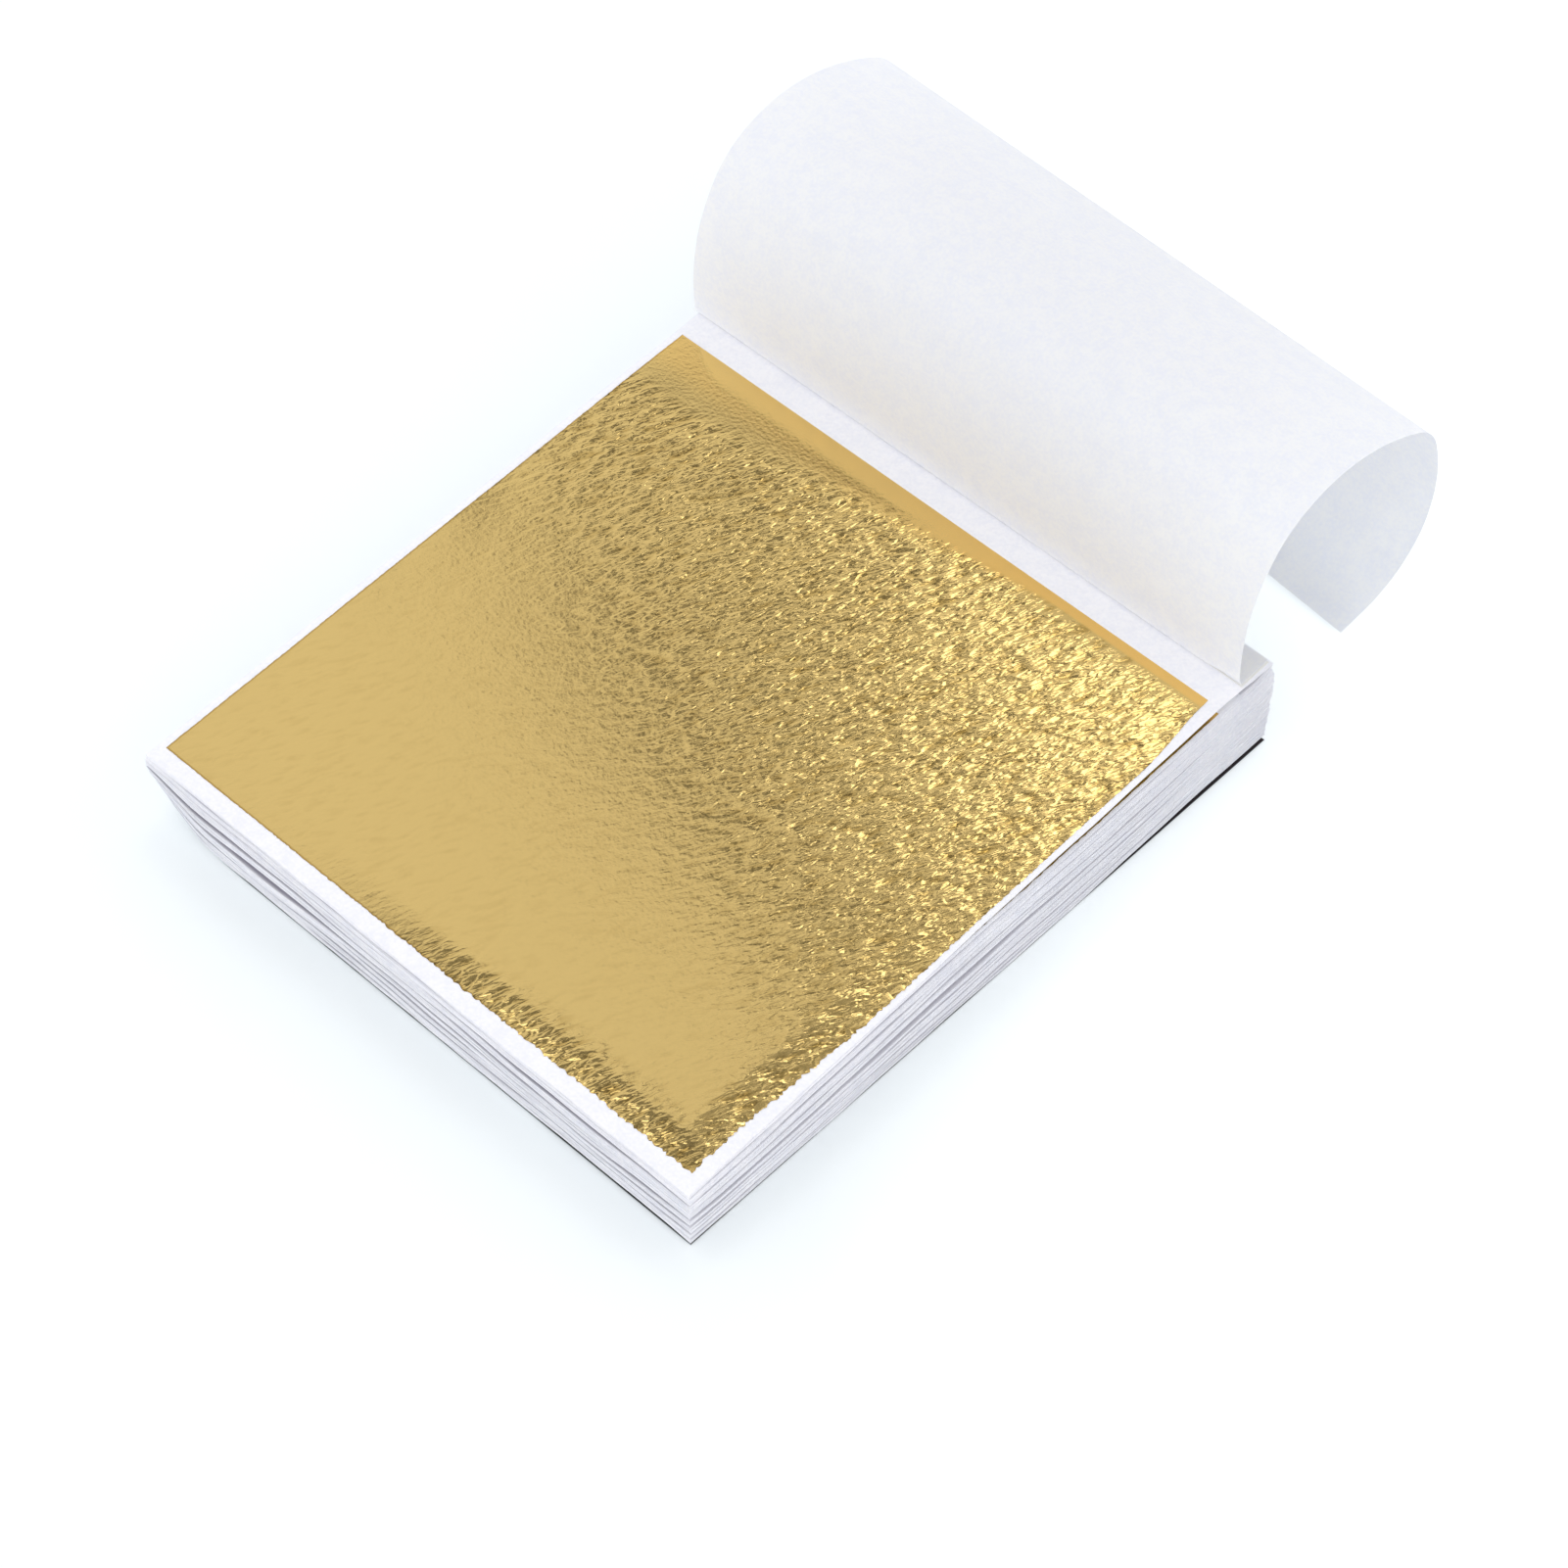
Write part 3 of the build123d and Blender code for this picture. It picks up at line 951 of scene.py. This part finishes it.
class LEAFBOOKLET_OT_leaf_bundles(bpy.types.Operator):
    """Adds the gold leaves between the closed pages"""

    bl_idname = "leaf_booklet.leaf_bundles"
    bl_label = "Leaf bundles"

    def execute(self, context):
        rings, heights = laid_rings(LEAF_LOW, LEAF_HIGH, (0.0, 2.5, 8.0), 20, 20)
        # In the CAD a leaf's middle lies about this high over the underside of its page
        rise = PAGE_THICKNESS + 0.02
        for node in bundle_nodes("gold_leaf_bundle_"):
            box_low, box_high = node_box(node)
            first = round((box_low[2] - rise) / stack().pitch(LEAF_LOW[1]))
            last = round((box_high[2] - rise) / stack().pitch(LEAF_HIGH[1]))
            sheets = []
            for level in range(first, last + 1):
                lower = []
                for (x, y), height in zip(rings, heights):
                    under, over = height[level] + PAGE_THICKNESS, height[level + 1]
                    lower.append(np.stack([x, y, (under + over - LEAF_THICKNESS) / 2], -1))
                lower = np.array(lower)
                sheets.append((lower, lower + np.array([0, 0, LEAF_THICKNESS])))
            piece = dressed(node.replace("gold_leaf", "brass_leaf"), *ringed_sheets(sheets), LEAF)
            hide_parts(node)
            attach(piece, "bound_block")
        return {"FINISHED"}


# How far the glue stays in from the margins' edges and from the spine, its rings, and the length of the right
# end where the second page comes free
GLUE_INSET = 0.25
SPINE_INSET = 0.3
GLUE_RINGS = (0.0, 0.8)
FREE_END = 2.5


class LEAFBOOKLET_OT_binding_glue(bpy.types.Operator):
    """Adds the dried glue between the pages' margins"""

    bl_idname = "leaf_booklet.binding_glue"
    bl_label = "Binding glue"

    def execute(self, context):
        low, high = np.array([LEFT, CREASE]) + GLUE_INSET, np.array([RIGHT - GLUE_INSET, SPINE - SPINE_INSET])
        full = laid_rings(low, high, GLUE_RINGS, 30, 3)
        short = laid_rings(low, high - np.array([FREE_END - GLUE_INSET, 0]), GLUE_RINGS, 30, 3)
        sheets = []
        for level in range(TOP_LEVEL):
            page = TOP_LEVEL + 1 - level
            # No glue holds the right end of the gap under the second page
            rings, heights = short if page == LIFTING_PAGES[0] + 1 else full
            lower, upper = [], []
            for (x, y), height in zip(rings, heights):
                under = height[level] + PAGE_THICKNESS + lifted(page, x, y)
                over = height[level + 1] + lifted(page - 1, x, y)
                lower.append(np.stack([x, y, under], -1))
                upper.append(np.stack([x, y, over], -1))
            sheets.append((np.array(lower), np.array(upper)))
        piece = dressed("dried_glue_layers", *ringed_sheets(sheets), GLUE)
        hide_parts("binding_glue")
        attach(piece, "bound_block")
        return {"FINISHED"}


# Studio
# Light from the sides and from overhead, where 1 shows a colour about as it is written
HORIZON_LIGHT = 1.30
OVERHEAD_LIGHT = 0.84
# Directions in the room as the leaf mirrors them to the camera: up and to the right in the picture
MIRROR_UP = Vector((0.426, 0.885, -0.189))
MIRROR_RIGHT = Vector((0.892, 0.042, 0.450))
ROOM_X = Vector((1, 0, 0))
ROOM_Y = Vector((0, 1, 0))


def slanted(slant):
    """A direction up in the picture that leans by slant to its left."""
    return MIRROR_UP - slant * MIRROR_RIGHT


# Gaps and lamps in the room's even light, where the leaf mirrors them to the camera. Each is the light that
# it adds, then its straight edges: it lies where the direction's share of the axis is over the limit.
PANELS = (
    # The gap between two soft boxes, a wedge that widens to the right
    (-0.96, (slanted(0.2), -0.026), (-slanted(0.75), -0.059), (MIRROR_RIGHT, -0.078), (-MIRROR_RIGHT, -0.26)),
    # A lamp past the gap's right part
    (2.8, (MIRROR_RIGHT, 0.044), (-MIRROR_RIGHT, -0.30), (slanted(0.5), -0.036), (-MIRROR_UP, -0.26)),
    # A lamp over the gap
    (1.0, (slanted(0.75), 0.095), (-slanted(0.75), -0.20), (MIRROR_RIGHT, -0.035), (-MIRROR_RIGHT, -0.12)),
    # The gap that the drooping right edge mirrors
    (-0.45, (MIRROR_RIGHT, 0.080), (-MIRROR_RIGHT, -0.26), (MIRROR_UP, -0.08), (-slanted(0.5), 0.050)),
    # The gap that the drooping fore edge mirrors
    (-0.65, (-ROOM_Y, -0.23), (ROOM_Y, 0.08), (ROOM_X, -0.46), (-ROOM_X, 0.10)),
    # A lamp below that gap
    (1.5, (-ROOM_Y, -0.07), (ROOM_Y, -0.14), (ROOM_X, -0.52), (-ROOM_X, 0.20)),
)
# The least light from any direction, and how softly a panel's edges fade
DARKEST = 0.08
EDGE_SOFTNESS = 0.022


def studio_world(level):
    """An even white room, a little brighter at the sides, with gaps and lamps that only the leaf shows."""
    world = bpy.data.worlds.new("soft_studio")
    bpy.context.scene.world = world
    world.use_nodes = True
    tree = world.node_tree
    tree.nodes.clear()
    direction = add_node(tree, "ShaderNodeTexCoord").outputs["Generated"]
    up = add_node(tree, "ShaderNodeSeparateXYZ", {"Vector": direction}).outputs["Z"]
    room = {"Value": up, "To Min": HORIZON_LIGHT, "To Max": OVERHEAD_LIGHT}
    total = add_node(tree, "ShaderNodeMapRange", room)
    for share, *edges in PANELS:
        for axis, limit in edges:
            along = add_node(tree, "ShaderNodeVectorMath", {0: direction, 1: axis}, operation="DOT_PRODUCT")
            edge = {"Value": along, "From Min": limit - EDGE_SOFTNESS, "From Max": limit + EDGE_SOFTNESS}
            inside = add_node(tree, "ShaderNodeMapRange", edge, interpolation_type="SMOOTHSTEP")
            share = add_node(tree, "ShaderNodeMath", {0: inside, 1: share}, operation="MULTIPLY")
        total = add_node(tree, "ShaderNodeMath", {0: total, 1: share}, operation="ADD")
    total = add_node(tree, "ShaderNodeMath", {0: total, 1: DARKEST}, operation="MAXIMUM")
    strength = add_node(tree, "ShaderNodeMath", {0: total, 1: level}, operation="MULTIPLY")
    light = {"Color": rgba(linear("#FDFDFF")), "Strength": strength}
    add_node(tree, "ShaderNodeOutputWorld", {"Surface": add_node(tree, "ShaderNodeBackground", light)})


def floor_material(name):
    """Matt white paper sweep. It glows faintly where it is seen, so that it is white and keeps the shadow;
    where the glow is stronger away from the booklet and behind it and to its right, it is painted light.
    Under the booklet it has a painted shadow, a dark colour and no glow, where no light comes, but not under
    its raised corner."""
    settings = bpy.context.scene.leaf_booklet_studio
    material, tree = new_material(name)
    place = add_node(tree, "ShaderNodeNewGeometry").outputs["Position"]
    # Distance from the booklet's outline, below 0 inside it
    away = -1.0
    sizes = add_node(tree, "ShaderNodeVectorMath", {0: place}, operation="ABSOLUTE")
    split = add_node(tree, "ShaderNodeSeparateXYZ", {"Vector": sizes})
    for axis, limit in (("X", RIGHT), ("Y", SPINE)):
        past = add_node(tree, "ShaderNodeMath", {0: split.outputs[axis], 1: limit * MM}, operation="SUBTRACT")
        away = add_node(tree, "ShaderNodeMath", {0: past, 1: away}, operation="MAXIMUM")
    rim = {"Value": away, "From Min": 0.1 * MM, "From Max": 0.25 * MM}
    beside = add_node(tree, "ShaderNodeMapRange", rim)
    # Distance from the left fore corner, as in Stack.raised
    slope = (CORNER_X_SHARE, 1.0, 0.0)
    corner = add_node(tree, "ShaderNodeVectorMath", {0: place, 1: slope}, operation="DOT_PRODUCT")
    raised_end = CORNER_X_SHARE * LEFT + FORE + CORNER_REACH
    raised = {"Value": corner, "From Min": (raised_end + 3) * MM, "From Max": (raised_end - 1) * MM}
    under_corner = add_node(tree, "ShaderNodeMapRange", raised)
    outside = add_node(tree, "ShaderNodeMath", {0: beside, 1: under_corner}, operation="MAXIMUM")
    # Painted light: the glow is a little stronger away from the booklet
    near = {"Value": away, "From Max": 25 * MM, "To Min": 0.10, "To Max": 0.13}
    glow = add_node(tree, "ShaderNodeMapRange", near, interpolation_type="SMOOTHSTEP")
    # Painted light: the glow is up to three times stronger behind the booklet and to its right, where no
    # shadow shows
    behind = add_node(tree, "ShaderNodeVectorMath", {0: place, 1: (0.7, 0.7, 0.0)}, operation="DOT_PRODUCT")
    far = {"Value": behind, "From Min": 10 * MM, "From Max": 60 * MM, "To Min": 1.0, "To Max": 3.0}
    more = add_node(tree, "ShaderNodeMapRange", far)
    seen = 0.0
    rays = add_node(tree, "ShaderNodeLightPath").outputs
    for ray in ("Is Camera Ray", "Is Glossy Ray", "Is Transmission Ray"):
        seen = add_node(tree, "ShaderNodeMath", {0: rays[ray], 1: seen}, operation="MAXIMUM")
    for share in (outside, more, seen):
        glow = add_node(tree, "ShaderNodeMath", {0: glow, 1: share}, operation="MULTIPLY")
    # Painted shadow: a dark colour under the booklet, up to its outline, but not under its raised corner
    tones = {"Factor": outside, "A": rgba(linear("#3A3436")), "B": rgba(settings.floor_colour)}
    colour = add_node(tree, "ShaderNodeMix", tones, data_type="RGBA")
    matt = add_node(tree, "ShaderNodeBsdfDiffuse", {"Color": colour})
    white = add_node(tree, "ShaderNodeEmission", {"Color": rgba(linear("#F8FEFF")), "Strength": glow})
    both = add_node(tree, "ShaderNodeAddShader", {0: matt, 1: white})
    add_node(tree, "ShaderNodeOutputMaterial", {"Surface": both})
    return material


# The floor's side, and how far it lies under the lowest sheet so that the two don't flicker, in metres
FLOOR_SIZE = 4.0
FLOOR_GAP = 0.02 * MM


class LEAFBOOKLET_OT_studio(bpy.types.Operator):
    """Adds the floor, the soft light and the camera at the photograph's view"""

    bl_idname = "leaf_booklet.studio"
    bl_label = "Studio"

    def execute(self, context):
        settings = context.scene.leaf_booklet_studio
        far = FLOOR_SIZE / 2
        mesh = bpy.data.meshes.new("floor")
        mesh.from_pydata([(-far, -far, 0), (far, -far, 0), (far, far, 0), (-far, far, 0)], [], [(0, 1, 2, 3)])
        mesh.materials.append(material_named("matt_paper_sweep", floor_material))
        floor = bpy.data.objects.new("floor", mesh)
        floor.location.z = -FLOOR_GAP
        context.scene.collection.objects.link(floor)
        studio_world(settings.light_level)
        self.add_camera(context, settings)
        context.scene.view_settings.view_transform = "Standard"
        return {"FINISHED"}

    def add_camera(self, context, settings):
        """The view that was fitted to the photograph."""
        elevation, azimuth, roll = math.radians(51.70), math.radians(43.91), math.radians(-0.35)
        distance = 501.6 * MM
        target = Vector((7.05, 4.38, 0)) * MM
        right = Vector((math.cos(azimuth), math.sin(azimuth), 0))
        level_back = Vector((math.sin(azimuth), -math.cos(azimuth), 0))
        back = level_back * math.cos(elevation) + Vector((0, 0, math.sin(elevation)))
        up = back.cross(right)
        rolled_right = right * math.cos(roll) + up * math.sin(roll)
        rolled_up = up * math.cos(roll) - right * math.sin(roll)
        data = bpy.data.cameras.new("camera")
        data.lens = settings.lens
        data.sensor_width = 36
        data.clip_start, data.clip_end = 0.01, 20
        camera = bpy.data.objects.new("camera", data)
        context.scene.collection.objects.link(camera)
        turn = Matrix((rolled_right, rolled_up, back)).transposed().to_4x4()
        camera.matrix_world = Matrix.Translation(target + back * distance) @ turn
        context.scene.camera = camera


class LEAFBOOKLET_PT_panel(bpy.types.Panel):
    """Lists the booklet's pieces"""

    bl_idname = "LEAFBOOKLET_PT_panel"
    bl_label = "Leaf Booklet"
    bl_space_type = "VIEW_3D"
    bl_region_type = "UI"
    bl_category = "Leaf Booklet"

    def draw(self, context):
        for name, settings in SETTINGS.items():
            for setting in settings.__annotations__:
                self.layout.prop(getattr(context.scene, name), setting)
        for operator in OPERATORS:
            self.layout.operator(operator.bl_idname)


OPERATORS = (
    LEAFBOOKLET_OT_studio,
    LEAFBOOKLET_OT_page_bundles,
    LEAFBOOKLET_OT_leaf_bundles,
    LEAFBOOKLET_OT_binding_glue,
    LEAFBOOKLET_OT_lifting_pages,
    LEAFBOOKLET_OT_next_leaves,
    LEAFBOOKLET_OT_top_leaf,
    LEAFBOOKLET_OT_turned_page,
)
SETTINGS = {
    "leaf_booklet_tissue": TissueSettings,
    "leaf_booklet_leaf": LeafSettings,
    "leaf_booklet_studio": StudioSettings,
}


def register():
    for settings in SETTINGS.values():
        bpy.utils.register_class(settings)
    for name, settings in SETTINGS.items():
        setattr(bpy.types.Scene, name, bpy.props.PointerProperty(type=settings))
    for operator in OPERATORS:
        bpy.utils.register_class(operator)
    bpy.utils.register_class(LEAFBOOKLET_PT_panel)


def unregister():
    bpy.utils.unregister_class(LEAFBOOKLET_PT_panel)
    for operator in reversed(OPERATORS):
        bpy.utils.unregister_class(operator)
    for name, settings in SETTINGS.items():
        delattr(bpy.types.Scene, name)
        bpy.utils.unregister_class(settings)


def main():
    register()
    for operator in OPERATORS:
        group, action = operator.bl_idname.split(".")
        getattr(getattr(bpy.ops, group), action)()


if __name__ == "__main__":
    main()
